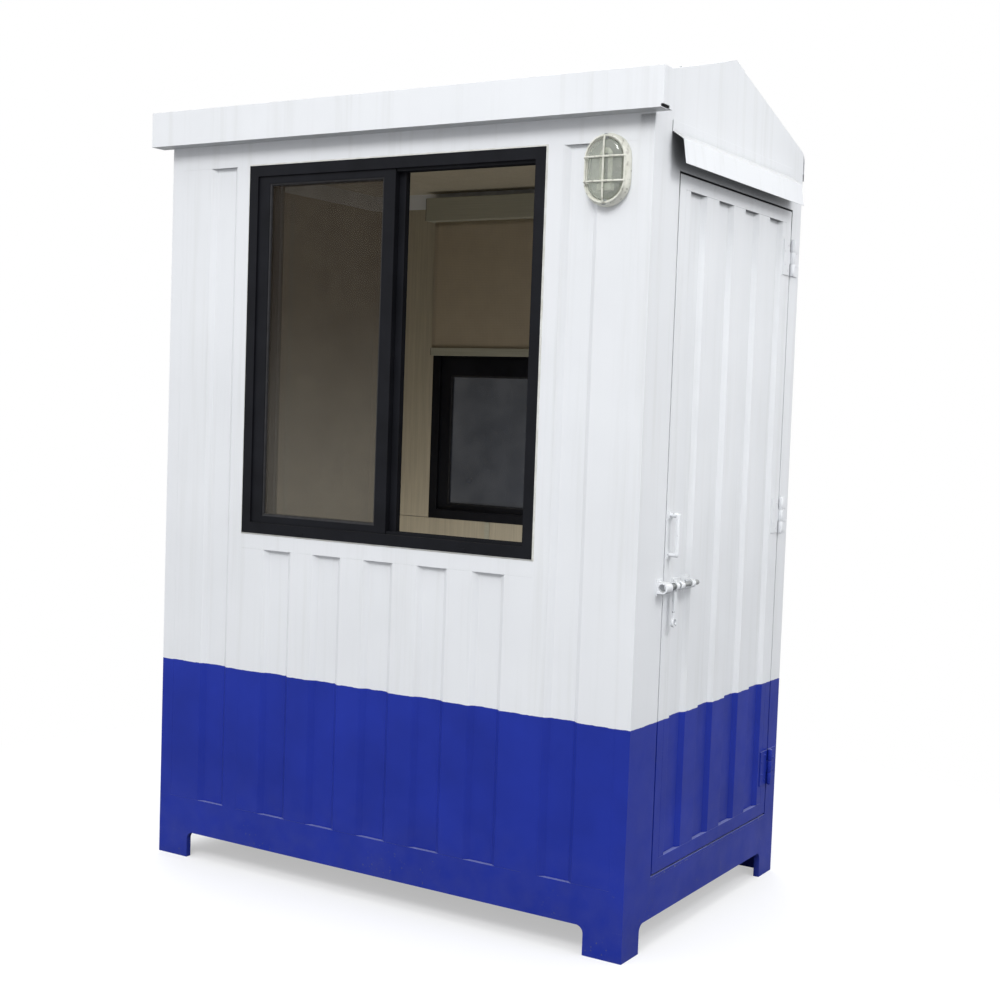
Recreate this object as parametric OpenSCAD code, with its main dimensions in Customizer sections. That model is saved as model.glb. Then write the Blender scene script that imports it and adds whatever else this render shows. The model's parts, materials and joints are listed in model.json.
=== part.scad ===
// Small security guard cabin: steel frame, fluted steel walls, sliding service window,
// side door with slide bolt, and a folded sheet roof behind a front fascia.
// Millimetres, +Z up, front wall towards -Y, door in the wall towards +X.

/* [Cabin] */
// Length along the front wall
wall_l = 1830; // [1600:5:2600]
// Depth from front wall face to rear wall face
wall_w = 1155; // [1140:5:1800]
// Height of the wall tops above the ground
wall_h = 2445; // [2440:5:3000]
// Thickness of a wall with its lining
wall_t = 50; // [50:1:70]
// Thickness of a lining board
board_t = 9; // [6:1:12]
// Thickness of the fluted wall sheet
sheet_t = 2; // [1:0.5:3]
// Height of the steel rail along the wall tops
top_rail_h = 76; // [60:1:110]

/* [Flutes] */
// Spacing of the flutes
flute_pitch = 207; // [180:1:260]
// Width of a flute at the wall face
flute_w = 116; // [80:1:130]
// Width of each sloping side of a flute
flute_slope = 18; // [8:1:25]
// Depth of a flute
flute_d = 13; // [8:1:30]

/* [Feet and floor] */
// Height of the feet
foot_h = 88; // [60:1:150]
// Width of a foot along the front
foot_x = 130; // [100:1:200]
// Width of a foot along the side
foot_y = 110; // [90:1:200]
// Thickness of the foot plates
foot_t = 20; // [10:1:30]
// Radius where a foot runs out into the rail
foot_r = 24; // [10:1:40]
// Height of the base rail
base_h = 119; // [100:1:180]
// Thickness of the floor board
floor_t = 18; // [12:1:30]
// Height of a floor bearer
bearer_h = 79; // [50:1:80]
// Width of a floor bearer
bearer_w = 50; // [40:1:80]
// Number of floor bearers
bearer_n = 4; // [2:1:6]

/* [Windows] */
// Width of a window frame
win_w = 1134; // [900:2:1200]
// Height of the front window's sill above the ground
win_sill = 1153; // [1000:1:1300]
// Width of the frame seen from the front
win_frame = 36; // [25:1:50]
// How far the frame stands out from the wall face
win_proud = 4; // [1:1:10]
// Width of the flat strip beside a window
stud_w = 55; // [40:1:80]
// Height of the flat band below a window
sill_band = 53; // [40:1:80]
// Width of a sash's side bars
stile_w = 45; // [30:1:60]
// Height of a sash's top and bottom bars
sash_rail = 24; // [20:1:60]
// Thickness of a sash
sash_t = 22; // [16:1:22]
// Glass thickness
glass_t = 5; // [4:1:8]
// How far the open sash stops short of the shut one
open_stop = 24; // [5:1:60]
// Height of the rear window's lower pane with its bottom bar
rear_low_h = 566; // [300:1:700]
// Height of the rear window's cross bar
transom_h = 70; // [40:1:100]

/* [Roller blind] */
// Drop of the cloth below its case
blind_drop = 490; // [200:1:900]
// Height of the case
case_h = 88; // [60:1:100]
// Depth of the case
case_d = 64; // [50:1:90]
// Thickness of the cloth solid
cloth_t = 2; // [1:0.5:4]
// Height of the bottom bar
blind_bar_h = 30; // [15:1:40]

/* [Door] */
// Width of the door leaf
door_w = 888; // [600:1:890]
// Thickness of the door leaf
door_t = 40; // [34:1:44]
// Gap between leaf and front jamb
door_gap_front = 7; // [6:1:12]
// Gap at the hinge side, the head and the foot
door_gap = 6; // [5:1:10]
// Height of the threshold bar on the base rail
sill_t = 9; // [6:1:15]
// Height of the top of the door leaf above the ground
door_top = 2300; // [2100:1:2330]
// Width of the leaf's flat border
door_border = 42; // [40:1:70]
// Width of the jamb beside the hinges
hinge_jamb = 30; // [25:1:60]
// Projection of the stop strips into the doorway
stop_w = 20; // [12:1:30]

/* [Hinges] */
// Height of a hinge
hinge_h = 120; // [90:1:160]
// Height of the lowest hinge's middle above the leaf's foot
hinge_low = 165; // [120:1:300]
// Distance of the top hinge's middle below the leaf's top
hinge_top = 157; // [120:1:300]
// Radius of the hinge knuckles
knuckle_r = 8; // [7:0.5:9]
// Radius of the hinge pins
pin_r = 4; // [3:0.5:5]
// Distance of the pin axis in front of the wall face
pin_out = 10; // [9:0.5:14]
// Thickness of the hinge plates
plate_t = 3; // [2:0.5:4]

/* [Bolt and handle] */
// Radius of the bolt rod
rod_r = 8; // [6:0.5:10]
// Length of the bolt rod
rod_l = 200; // [190:1:260]
// Height of the bolt above the ground
bolt_z = 1090; // [900:1:1150]
// Distance of the rod's axis in front of the door face
bolt_out = 20; // [18:0.5:26]
// Length of the plate under the bolt
bolt_plate_l = 120; // [110:1:140]
// Height of the plate under the bolt
bolt_plate_h = 46; // [36:1:80]
// Length of the keep on the jamb
keep_l = 40; // [30:1:60]
// Length of the lug hanging from the rod
lug_l = 108; // [60:1:140]
// Length of the pull handle
handle_l = 132; // [120:1:250]
// Height of the handle's middle above the ground
handle_z = 1243; // [1200:1:1500]
// Radius of the handle's bar
handle_r = 7; // [5:0.5:10]
// Distance of the handle's bar in front of the door face
handle_out = 27; // [26:1:40]

/* [Roof] */
// Height of the ridge above the wall tops
ridge_h = 255; // [150:1:400]
// Distance of the ridge from the front wall face
ridge_y = 548; // [400:1:700]
// Height of the roof sheet above the wall tops at the fascia
eaves_front = 113; // [60:1:113]
// Height of the roof sheet above the wall tops at the rear
eaves_rear = 62; // [20:1:100]
// Height of the rear lip
lip_h = 91; // [60:1:120]
// Distance of the rear lip behind the rear wall
lip_out = 12; // [6:1:30]
// Thickness of the roof sheet
roof_t = 2; // [1:0.5:3]
// Thickness of the gable plates
gable_t = 3; // [2:0.5:5]
// Height of the fascia
fascia_h = 115; // [115:1:180]
// Distance of the fascia's face in front of the wall
fascia_out = 55; // [40:1:120]
// Length of the fascia past each end of the wall
fascia_over = 50; // [50:1:120]
// Thickness of the fascia sheet
fascia_t = 3; // [2:0.5:4]
// Length of the door hood
hood_l = 938; // [600:1:960]
// Reach of the door hood
hood_out = 49; // [30:1:50]

/* [Lamp] */
// Width of the wall lamp
lamp_w = 145; // [120:1:180]
// Height of the wall lamp
lamp_h = 208; // [180:1:260]
// Depth of the wall lamp
lamp_d = 42; // [40:1:60]
// Distance of the lamp's middle from the wall's right end
lamp_in = 140; // [100:1:160]
// Height of the lamp's middle above the ground
lamp_z = 2288; // [1900:1:2290]

/* [Hidden] */

$fn = 48;
// The cabin is modelled from its left front ground corner, then moved as a whole
part_x = -wall_l / 2;
part_y = -(wall_w + lip_out - max(lamp_d, fascia_out)) / 2;

base_top = foot_h + base_h;
stud_d = wall_t - board_t;
rail_z = wall_h - top_rail_h;
joint_gap = 2;

win_depth = wall_t + win_proud;
win_x = (wall_l - win_w) / 2;
win_h = rail_z - win_sill;
light_x = win_x + win_frame;
light_w = win_w - 2 * win_frame;
light_z = win_sill + win_frame;
light_h = win_h - 2 * win_frame;
sash_w = light_w / 2 + stile_w / 2;
track_outer = 3;
track_inner = track_outer + sash_t + 2;

leaf_y = wall_w - wall_t - hinge_jamb - door_gap - door_w;
leaf_z = base_top + sill_t + door_gap;
leaf_h = door_top - leaf_z;
jamb_front = leaf_y - door_gap_front;
jamb_rear = leaf_y + door_w + door_gap;
head_z = door_top + door_gap;
stop_d = wall_t - door_t - 6;

pin_y = leaf_y + door_w + 3;
pin_clear = 0.08;
hinge_mid = (leaf_z + hinge_low + door_top - hinge_top) / 2;
hinge_zs = [leaf_z + hinge_low, hinge_mid, door_top - hinge_top];
knuckle_gap = 0.5;

rod_back = 7;
lug_in = 37;
bolt_plate_in = 51;
rod_y = leaf_y - rod_back;
rod_clear = 0.08;
keep_clear = 4;
keep_gap = 5;
lug_y = leaf_y + lug_in;
plate_y = leaf_y + bolt_plate_in;

ridge_z = wall_h + ridge_h;
front_z = wall_h + eaves_front;
rear_z = wall_h + eaves_rear;
fascia_back = 5;
fold_r = 40;
fold_n = 6;

module place() translate([part_x, part_y, 0]) children();
module box(low, size) translate(low) cube(size);

// A sheet profile with flutes at the given middles, along X from 0 to w, its face on y = 0
module flute_profile(w, middles, t = sheet_t) {
    h = flute_w / 2;
    outer = [for (m = middles, p = [[-h, 0], [-h + flute_slope, flute_d],
        [h - flute_slope, flute_d], [h, 0]]) [m + p[0], p[1]]];
    inner = [for (i = [len(middles) - 1:-1:0], p = [[h + t, t], [h - flute_slope + t / 2, flute_d + t],
        [-h + flute_slope - t / 2, flute_d + t], [-h - t, t]]) [middles[i] + p[0], p[1]]];
    polygon(concat([[0, 0]], outer, [[w, 0], [w, t]], inner, [[0, t]]));
}

// Fluted sheets facing -Y, +Y, -X and +X, from a lower outer corner
module sheet_front(x, z, w, h, middles)
    translate([x, 0, z]) linear_extrude(h) flute_profile(w, middles);
module sheet_rear(x, z, w, h, middles)
    translate([x, wall_w, z]) mirror([0, 1, 0]) linear_extrude(h) flute_profile(w, middles);
module sheet_right(y, z, w, h, middles)
    translate([wall_l, y, z]) rotate([0, 0, 90]) linear_extrude(h) flute_profile(w, middles);
module sheet_left(y, z, w, h, middles)
    translate([0, y, z]) mirror([1, 0, 0]) rotate([0, 0, 90]) linear_extrude(h)
        flute_profile(w, middles);

// Flute middles of as many flutes as a sheet of width w holds, centred on it
flute_edge = flute_w / 2 + sheet_t + 1;
function middles(w) = let (n = floor((w - 2 * flute_edge) / flute_pitch))
    [for (i = [0:n]) w / 2 + (i - n / 2) * flute_pitch];

// An upright ring in the XZ plane, from y to y + t
module ring(x, y, z, w, h, t, side, rail) difference() {
    box([x, y, z], [w, t, h]);
    box([x + side, y - 1, z + rail], [w - 2 * side, t + 2, h - 2 * rail]);
}

// Feet -------------------------------------------------------------------------------------

module foot_plate(w) rotate([90, 0, 0]) translate([0, 0, -foot_t]) linear_extrude(foot_t) {
    square([w, foot_h]);
    difference() {
        translate([w - 1, foot_h - foot_r]) square([foot_r + 1, foot_r]);
        translate([w + foot_r, foot_h - foot_r]) circle(foot_r);
    }
}

module foot() {
    foot_plate(foot_x);
    mirror([1, -1, 0]) foot_plate(foot_y);
}

module feet() color("#20309a") place() for (x = [0, 1], y = [0, 1])
    translate([x * wall_l, y * wall_w, 0]) mirror([x, 0, 0]) mirror([0, y, 0]) foot();

// Floor ------------------------------------------------------------------------------------

module base_rails() color("#20309a") place() {
    for (y = [0, wall_w - wall_t])
        box([wall_t, y, foot_h], [wall_l - 2 * wall_t, wall_t, base_h]);
    for (x = [0, wall_l - wall_t])
        box([x, wall_t, foot_h], [wall_t, wall_w - 2 * wall_t, base_h]);
}

module floor_bearers() color("#4a4f58") place() {
    step = (wall_l - 2 * wall_t - bearer_w) / (bearer_n - 1);
    for (i = [0:bearer_n - 1])
        box([wall_t + i * step, wall_t, base_top - floor_t - bearer_h],
            [bearer_w, wall_w - 2 * wall_t, bearer_h]);
}

module floor_deck() color("#8a7a66") place()
    box([wall_t, wall_t, base_top - floor_t], [wall_l - 2 * wall_t, wall_w - 2 * wall_t, floor_t]);

// Wall frame -------------------------------------------------------------------------------

module corner_posts() color("#e6eaee") place() for (x = [0, wall_l - wall_t], y = [0, wall_w - wall_t])
    box([x, y, foot_h], [wall_t, wall_t, wall_h - foot_h]);

module top_rails() color("#e6eaee") place() {
    for (y = [0, wall_w - wall_t])
        box([wall_t, y, rail_z], [wall_l - 2 * wall_t, wall_t, top_rail_h]);
    for (x = [0, wall_l - wall_t])
        box([x, wall_t, rail_z], [wall_t, wall_w - 2 * wall_t, top_rail_h]);
}

module window_studs() color("#e6eaee") place()
    for (x = [win_x - stud_w, win_x + win_w], y = [0, wall_w - stud_d])
        box([x, y, base_top], [stud_w, stud_d, rail_z - base_top]);

module window_sill_bands() color("#e6eaee") place() for (y = [0, wall_w - stud_d])
    box([win_x, y, win_sill - sill_band], [win_w, stud_d, sill_band]);

// Wall sheets ------------------------------------------------------------------------------

side_panel_w = win_x - stud_w - wall_t;
lower_panel_h = win_sill - sill_band - base_top;
full_h = rail_z - base_top;

module front_side_panels() color("#e6eaee") place() {
    sheet_front(wall_t, base_top, side_panel_w, full_h, [side_panel_w - flute_edge]);
    sheet_front(win_x + win_w + stud_w, base_top, side_panel_w, full_h, [flute_edge]);
}

module rear_side_panels() color("#e6eaee") place() {
    sheet_rear(wall_t, base_top, side_panel_w, full_h, [side_panel_w - flute_edge]);
    sheet_rear(win_x + win_w + stud_w, base_top, side_panel_w, full_h, [flute_edge]);
}

module front_lower_panel() color("#e6eaee") place()
    sheet_front(win_x, base_top, win_w, lower_panel_h, middles(win_w));

module rear_lower_panel() color("#e6eaee") place()
    sheet_rear(win_x, base_top, win_w, lower_panel_h, middles(win_w));

left_w = wall_w - 2 * wall_t;

module left_wall_panel() color("#dfe4ea") place()
    sheet_left(wall_t, base_top, left_w, full_h, middles(left_w));

// Doorway ----------------------------------------------------------------------------------

module door_jambs() color("#dfe4ea") place() {
    box([wall_l - stud_d, wall_t, base_top], [stud_d, jamb_front - wall_t, rail_z - base_top]);
    box([wall_l - stud_d, jamb_rear, base_top],
        [stud_d, wall_w - wall_t - jamb_rear, rail_z - base_top]);
}

module door_header() color("#dfe4ea") place()
    box([wall_l - stud_d, jamb_front, head_z], [stud_d, jamb_rear - jamb_front, rail_z - head_z]);

module door_threshold() color("#9aa0a6") place()
    box([wall_l - wall_t, jamb_front, base_top], [wall_t, jamb_rear - jamb_front, sill_t]);

module door_stops() color("#dfe4ea") place() {
    x = wall_l - wall_t;
    z = base_top + sill_t;
    in = stop_w + joint_gap;
    for (y = [jamb_front, jamb_rear - stop_w]) box([x, y, z], [stop_d, stop_w, head_z - z]);
    box([x, jamb_front + in, head_z - stop_w], [stop_d, jamb_rear - jamb_front - 2 * in, stop_w]);
}

// Lining and ceiling -----------------------------------------------------------------------

module long_lining(y) {
    box([wall_t, y, base_top], [wall_l - 2 * wall_t, board_t, win_sill - base_top]);
    side = win_x - wall_t;
    for (x = [wall_t, win_x + win_w])
        box([x, y, win_sill + joint_gap], [side, board_t, rail_z - win_sill - joint_gap]);
}

module front_lining() color("#d8d4c8") place() long_lining(stud_d);
module rear_lining() color("#d8d4c8") place() long_lining(wall_w - wall_t);

module left_lining() color("#d8d4c8") place()
    box([stud_d, wall_t, base_top], [board_t, left_w, rail_z - base_top]);

module right_lining() color("#d8d4c8") place() {
    x = wall_l - wall_t;
    box([x, wall_t, base_top], [board_t, jamb_front - wall_t, rail_z - base_top]);
    box([x, jamb_rear, base_top], [board_t, wall_w - wall_t - jamb_rear, rail_z - base_top]);
    box([x, jamb_front + joint_gap, head_z],
        [board_t, jamb_rear - jamb_front - 2 * joint_gap, rail_z - head_z]);
}

ceiling_z = wall_h - 17;
module ceiling_board() color("#e2ddd2") place()
    box([wall_t, wall_t, ceiling_z], [wall_l - 2 * wall_t, left_w, board_t]);

// Roof -------------------------------------------------------------------------------------

// Underside of the roof sheet: at the fascia, at the ridge, and over the rear wall
slopes = [[fascia_back, front_z], [ridge_y, ridge_z - 2 * roof_t], [wall_w, rear_z]];
front_angle = atan2(slopes[1][1] - slopes[0][1], slopes[1][0] - slopes[0][0]);
rear_angle = atan2(slopes[2][1] - slopes[1][1], slopes[2][0] - slopes[1][0]);

// The rear fold is an arc between the rear slope and the lip, about this point
fold_y = wall_w + lip_out - fold_r;
fold_z = rear_z + roof_t + (fold_y - wall_w) * tan(rear_angle) - fold_r / cos(rear_angle);
function fold(r) = [for (i = [0:fold_n]) let (a = (90 + rear_angle) * (1 - i / fold_n))
    [fold_y + r * cos(a), fold_z + r * sin(a)]];

// A profile in the YZ plane, drawn out along X
module along_x(x, w) translate([x, 0, 0]) rotate([90, 0, 90]) linear_extrude(w) children();

module gable_panels() color("#dfe4ea") place() for (x = [0, wall_l - gable_t])
    along_x(x, gable_t) intersection() {
        polygon(concat([[wall_w + lip_out - roof_t, rear_z - lip_h], [fascia_back, rear_z - lip_h],
            slopes[0], slopes[1]], fold(fold_r - roof_t)));
        translate([fascia_back, wall_h]) square([wall_w - fascia_back, ridge_h]);
    }

purlin_h = 30;
purlin_w = 40;
cap_w = 70;
roof_gap = 0.2;
// Places of the purlins as shares of each slope
front_purlins = [0.06, 0.5, 0.93];
rear_purlins = [0.08, 0.5, 0.9];

// Square bars under the sheet, each laid along its slope
module roof_purlins() color("#b9bec4") place() along_x(gable_t, wall_l - 2 * gable_t) {
    for (s = front_purlins) translate(slopes[0] + s * (slopes[1] - slopes[0]))
        rotate(front_angle) translate([-purlin_w / 2, -purlin_h - roof_gap]) square([purlin_w, purlin_h]);
    for (s = rear_purlins) translate(slopes[1] + s * (slopes[2] - slopes[1]))
        rotate(rear_angle) translate([-purlin_w / 2, -purlin_h - roof_gap]) square([purlin_w, purlin_h]);
}

// One folded sheet from the fascia over the ridge and down the rear lip
module roof_sheet() color("#e6eaee") place() along_x(0, wall_l) polygon(concat(
    [slopes[0], slopes[0] + [0, roof_t], slopes[1] + [0, roof_t]], fold(fold_r),
    [[wall_w + lip_out, rear_z - lip_h], [wall_w + lip_out - roof_t, rear_z - lip_h]],
    [for (i = [fold_n:-1:0]) fold(fold_r - roof_t)[i]], [slopes[1]]));

module ridge_cap() color("#dfe4ea") place() along_x(0, wall_l) {
    top = [ridge_y, ridge_z - roof_t + roof_gap];
    f = top + cap_w * [-cos(front_angle), -sin(front_angle)];
    r = top + cap_w * [cos(rear_angle), sin(rear_angle)];
    polygon([f, top, r, r + [0, roof_t], top + [0, roof_t], f + [0, roof_t]]);
}

// The fascia is a closed sheet box with a small open corner under its right end
notch_x = 8;
notch_y = 40;
notch_h = 9;
module front_fascia() color("#e6eaee") place() difference() {
    l = wall_l + 2 * fascia_over;
    d = fascia_out + fascia_back;
    box([-fascia_over, -fascia_out, wall_h], [l, d, fascia_h]);
    box([-fascia_over + fascia_t, -fascia_out + fascia_t, wall_h + fascia_t],
        [l - 2 * fascia_t, d - 2 * fascia_t, fascia_h - 2 * fascia_t]);
    box([wall_l + fascia_over - notch_x, -fascia_out - 1, wall_h - 1],
        [notch_x + 1, notch_y + 1, notch_h + 1]);
}

hood_t = 2;
hood_z = wall_h - hood_t;
hood_lead = 62;
module door_hood() color("#dfe4ea") place()
    translate([wall_l, jamb_front - hood_lead + hood_l, 0]) rotate([90, 0, 0]) linear_extrude(hood_l)
        polygon([[0, hood_z], [0, hood_z - 33], [hood_out - 13, hood_z - 57],
            [hood_out - hood_t, hood_z - 127], [hood_out, hood_z - 127],
            [hood_out - 11, hood_z - 56], [hood_t, hood_z - 32], [hood_t, hood_z]]);

// Windows ----------------------------------------------------------------------------------

module front_window_frame() color("#1a1a22") place()
    ring(win_x, -win_proud, win_sill, win_w, win_h, win_depth, win_frame, win_frame);

module front_sash_shut() color("#1a1a22") place()
    ring(light_x, track_outer, light_z, sash_w, light_h, sash_t, stile_w, sash_rail);

module front_sash_open() color("#1a1a22") place()
    ring(light_x + open_stop, track_inner, light_z, sash_w, light_h, sash_t, stile_w, sash_rail);

module front_window_glass() color("#3a3530", 0.6) place()
    for (p = [[light_x, track_outer], [light_x + open_stop, track_inner]])
        box([p[0] + stile_w, p[1] + (sash_t - glass_t) / 2, light_z + sash_rail],
            [sash_w - 2 * stile_w, glass_t, light_h - 2 * sash_rail]);

module rear_window_frame() color("#1a1a22") place()
    ring(win_x, wall_w - win_depth + win_proud, win_sill, win_w, win_h, win_depth, win_frame,
        win_frame);

rear_sash_y = wall_w - 40;
rear_bottom = 22;
rear_pane_low = rear_low_h - win_frame - rear_bottom;
rear_pane_top = light_h - rear_bottom - rear_pane_low - transom_h - sash_rail;

module rear_panes(y, t) {
    x = light_x + stile_w;
    w = light_w - 2 * stile_w;
    box([x, y, light_z + rear_bottom], [w, t, rear_pane_low]);
    box([x, y, light_z + rear_bottom + rear_pane_low + transom_h], [w, t, rear_pane_top]);
}

module rear_sash() color("#1a1a22") place() difference() {
    box([light_x, rear_sash_y, light_z], [light_w, sash_t, light_h]);
    rear_panes(rear_sash_y - 1, sash_t + 2);
}

module rear_window_glass() color("#2c343c", 0.8) place()
    rear_panes(rear_sash_y + (sash_t - glass_t) / 2, glass_t);

// Roller blind -----------------------------------------------------------------------------

case_below = 54;
case_over = 12;
cloth_off = 20;
cloth_in = 16;
blind_bar_d = 12;
case_z = rail_z - case_below;
case_x = win_x - case_over;
case_w = win_w + 2 * case_over;
cloth_y = wall_w - wall_t - cloth_off;

module blind_case() color("#c9c3b4") place()
    box([case_x, wall_w - wall_t - case_d, case_z], [case_w, case_d, case_h]);

module blind_cloth() color("#b8a894") place()
    box([case_x + cloth_in, cloth_y, case_z - blind_drop],
        [case_w - 2 * cloth_in, cloth_t, blind_drop]);

module blind_bar() color("#b5baa8") place()
    box([case_x + cloth_in, cloth_y + (cloth_t - blind_bar_d) / 2, case_z - blind_drop - blind_bar_h],
        [case_w - 2 * cloth_in, blind_bar_d, blind_bar_h]);

// Lamp -------------------------------------------------------------------------------------

lamp_base_d = 26;
guard_r = 2.5;
guard_in = 6;
guard_clear = 2;

module stadium(w, h) {
    for (s = [-1, 1]) translate([0, s * (h - w) / 2]) circle(w / 2);
    square([w, h - w], center = true);
}

// The lamp's own frame: XY is the wall face, +Z points away from the wall
module at_lamp() translate([wall_l - lamp_in, 0, lamp_z]) rotate([90, 0, 0]) children();

module lamp_base() color("#b9b9aa") place() at_lamp() linear_extrude(lamp_base_d)
    stadium(lamp_w, lamp_h);

module lamp_glass() color("#e8e8e0") place() at_lamp() {
    w = lamp_w - 34;
    h = lamp_h - 34;
    rise = lamp_d - lamp_base_d - 2 * guard_r - guard_clear;
    translate([0, 0, lamp_base_d]) {
        linear_extrude(rise / 2) stadium(w, h);
        linear_extrude(rise) stadium(w - 24, h - 24);
    }
}

// A point of a squarish arc, w to each side and d high
function square_arc(w, d, a) = [w * sign(cos(a)) * sqrt(abs(cos(a))), d * sqrt(abs(sin(a)))];

// Half of an oval wire, standing on the base, as a flat bar of the wire's thickness
module guard_hoop(w) {
    d = lamp_d - lamp_base_d;
    e = d - 2 * guard_r;
    r = w / 2 - 2 * guard_r;
    steps = 12;
    outer = [for (i = [0:steps]) square_arc(w / 2, d, 180 * i / steps)];
    inner = [for (i = [steps:-1:0]) square_arc(r, e, 180 * i / steps)];
    translate([0, guard_r, 0]) rotate([90, 0, 0]) linear_extrude(2 * guard_r)
        polygon(concat(outer, inner));
}

module lamp_guard() color("#dcdcd0") place() at_lamp() translate([0, 0, lamp_base_d]) {
    w = lamp_w - 2 * guard_in;
    h = lamp_h - 2 * guard_in;
    linear_extrude(2 * guard_r) difference() {
        stadium(w, h);
        stadium(w - 4 * guard_r, h - 4 * guard_r);
    }
    for (s = [-1, 1]) translate([0, s * lamp_h / 6, 0]) guard_hoop(w);
    rotate(90) guard_hoop(h);
}

// Hinges -----------------------------------------------------------------------------------

// The hinge's own frame: Z is the pin's axis, X = -pin_out is the wall face
module at_hinges() for (z = hinge_zs) translate([wall_l + pin_out, pin_y, z]) children();

knuckle_h = hinge_h / 3;
plate_reach = 64;
plate_gap = 10;

module hinge_frame_leaves() color("#c8ccd0") place() at_hinges() {
    difference() {
        union() {
            for (z = [-hinge_h / 2, knuckle_h / 2]) {
                translate([0, 0, z]) cylinder(r = knuckle_r, h = knuckle_h);
                box([-pin_out, 0, z], [plate_t, plate_reach, knuckle_h]);
            }
            box([-pin_out, plate_gap, -hinge_h / 2], [plate_t, plate_reach - plate_gap, hinge_h]);
        }
        translate([0, 0, -knuckle_h / 2 - knuckle_gap])
            cylinder(r = knuckle_r + 1, h = knuckle_h + 2 * knuckle_gap);
    }
    translate([0, 0, -hinge_h / 2]) cylinder(r = pin_r, h = hinge_h);
}

module hinge_door_leaves() color("#c8ccd0") place() at_hinges() {
    difference() {
        union() {
            translate([0, 0, -knuckle_h / 2]) cylinder(r = knuckle_r, h = knuckle_h);
            box([-pin_out, -plate_reach, -knuckle_h / 2], [plate_t, plate_reach, knuckle_h]);
            box([-pin_out, -plate_reach, -hinge_h / 2], [plate_t, plate_reach - plate_gap, hinge_h]);
        }
        translate([0, 0, -hinge_h / 2 - 1]) cylinder(r = pin_r + pin_clear, h = hinge_h + 2);
    }
}

// Door leaf --------------------------------------------------------------------------------

skin_y = leaf_y + door_border;
skin_w = door_w - 2 * door_border;
skin_z = leaf_z + door_border;
skin_h = leaf_h - 2 * door_border;

module door_frame() color("#dfe4ea") place() difference() {
    box([wall_l - door_t, leaf_y, leaf_z], [door_t, door_w, leaf_h]);
    box([wall_l - door_t - 1, skin_y, skin_z], [door_t + 2, skin_w, skin_h]);
}

module door_outer_skin() color("#dfe4ea") place()
    sheet_right(skin_y, skin_z, skin_w, skin_h, middles(skin_w));

module door_inner_skin() color("#d8dce0") place()
    box([wall_l - door_t, skin_y, skin_z], [sheet_t, skin_w, skin_h]);

module door_handle() color("#8f959c") place() translate([wall_l, leaf_y + 24, handle_z]) {
    reach = handle_l / 2 - handle_r;
    for (s = [-1, 1]) {
        box([0, -15, s * reach - 12], [plate_t, 30, 24]);
        translate([0, 0, s * reach]) rotate([0, 90, 0]) cylinder(r = handle_r, h = handle_out);
        translate([handle_out, 0, s * reach]) sphere(handle_r);
    }
    translate([handle_out, 0, -reach]) cylinder(r = handle_r, h = 2 * reach);
}

// Bolt -------------------------------------------------------------------------------------

guide_w = 20;
guide_wall = 5;

// A block on the door face with a hole for the rod, from y to y + w
module rod_block(y, w, base, hole) difference() {
    r = hole + guide_wall;
    union() {
        translate([wall_l + bolt_out, y, bolt_z]) rotate([-90, 0, 0]) cylinder(r = r, h = w);
        box([wall_l + base, y, bolt_z - r], [bolt_out - base, w, 2 * r]);
    }
    translate([wall_l + bolt_out, y - 1, bolt_z]) rotate([-90, 0, 0]) cylinder(r = hole, h = w + 2);
}

guide_in = 12;
module bolt_guides() color("#aab0b6") place() {
    box([wall_l, plate_y, bolt_z - bolt_plate_h / 2], [plate_t, bolt_plate_l, bolt_plate_h]);
    for (y = [plate_y + guide_in, plate_y + bolt_plate_l - guide_w - guide_in])
        rod_block(y, guide_w, plate_t, rod_r + rod_clear);
}

keep_y = rod_y - keep_gap - keep_l;
keep_h = 52;
module bolt_keep() color("#aab0b6") place() {
    rod_block(keep_y, keep_l, plate_t, rod_r + keep_clear);
    box([wall_l, keep_y, bolt_z - keep_h / 2], [plate_t, keep_l, keep_h]);
}

ring_r = rod_r + 3;
ring_w = 4;
collar_w = 18;
collar_play = 0.3;

module bolt_rod() color("#b4bac0") place() translate([wall_l + bolt_out, rod_y, bolt_z])
    rotate([-90, 0, 0]) {
        cylinder(r = rod_r, h = rod_l);
        at = lug_y - rod_y;
        for (y = [at - collar_w / 2 - collar_play - ring_w, at + collar_w / 2 + collar_play])
            translate([0, 0, y]) cylinder(r = ring_r, h = ring_w);
    }

lug_t = 8;
lug_hole = 9;
module bolt_lug() color("#aab0b6") place() translate([wall_l + bolt_out, lug_y - collar_w / 2, bolt_z])
    difference() {
        union() {
            rotate([-90, 0, 0]) cylinder(r = rod_r + 5, h = collar_w);
            box([-lug_t / 2, 0, -lug_l], [lug_t, collar_w, lug_l - rod_r]);
            translate([-lug_t / 2, collar_w / 2, -lug_l]) rotate([0, 90, 0])
                cylinder(r = 15, h = lug_t);
        }
        translate([0, -1, 0]) rotate([-90, 0, 0]) cylinder(r = rod_r + rod_clear, h = collar_w + 2);
        translate([-lug_t, collar_w / 2, -lug_l]) rotate([0, 90, 0]) cylinder(r = lug_hole, h = 2 * lug_t);
    }

feet();
base_rails();
floor_bearers();
floor_deck();
corner_posts();
top_rails();
window_studs();
window_sill_bands();
front_side_panels();
front_lower_panel();
rear_side_panels();
rear_lower_panel();
left_wall_panel();
door_jambs();
door_header();
door_threshold();
door_stops();
front_lining();
rear_lining();
left_lining();
right_lining();
ceiling_board();
gable_panels();
roof_purlins();
roof_sheet();
ridge_cap();
front_fascia();
door_hood();
front_window_frame();
front_sash_shut();
front_sash_open();
front_window_glass();
rear_window_frame();
rear_sash();
rear_window_glass();
blind_case();
blind_cloth();
blind_bar();
lamp_base();
lamp_glass();
lamp_guard();
hinge_frame_leaves();
bolt_keep();
door_frame();
door_outer_skin();
door_inner_skin();
hinge_door_leaves();
door_handle();
bolt_guides();
bolt_rod();
bolt_lug();
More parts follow.
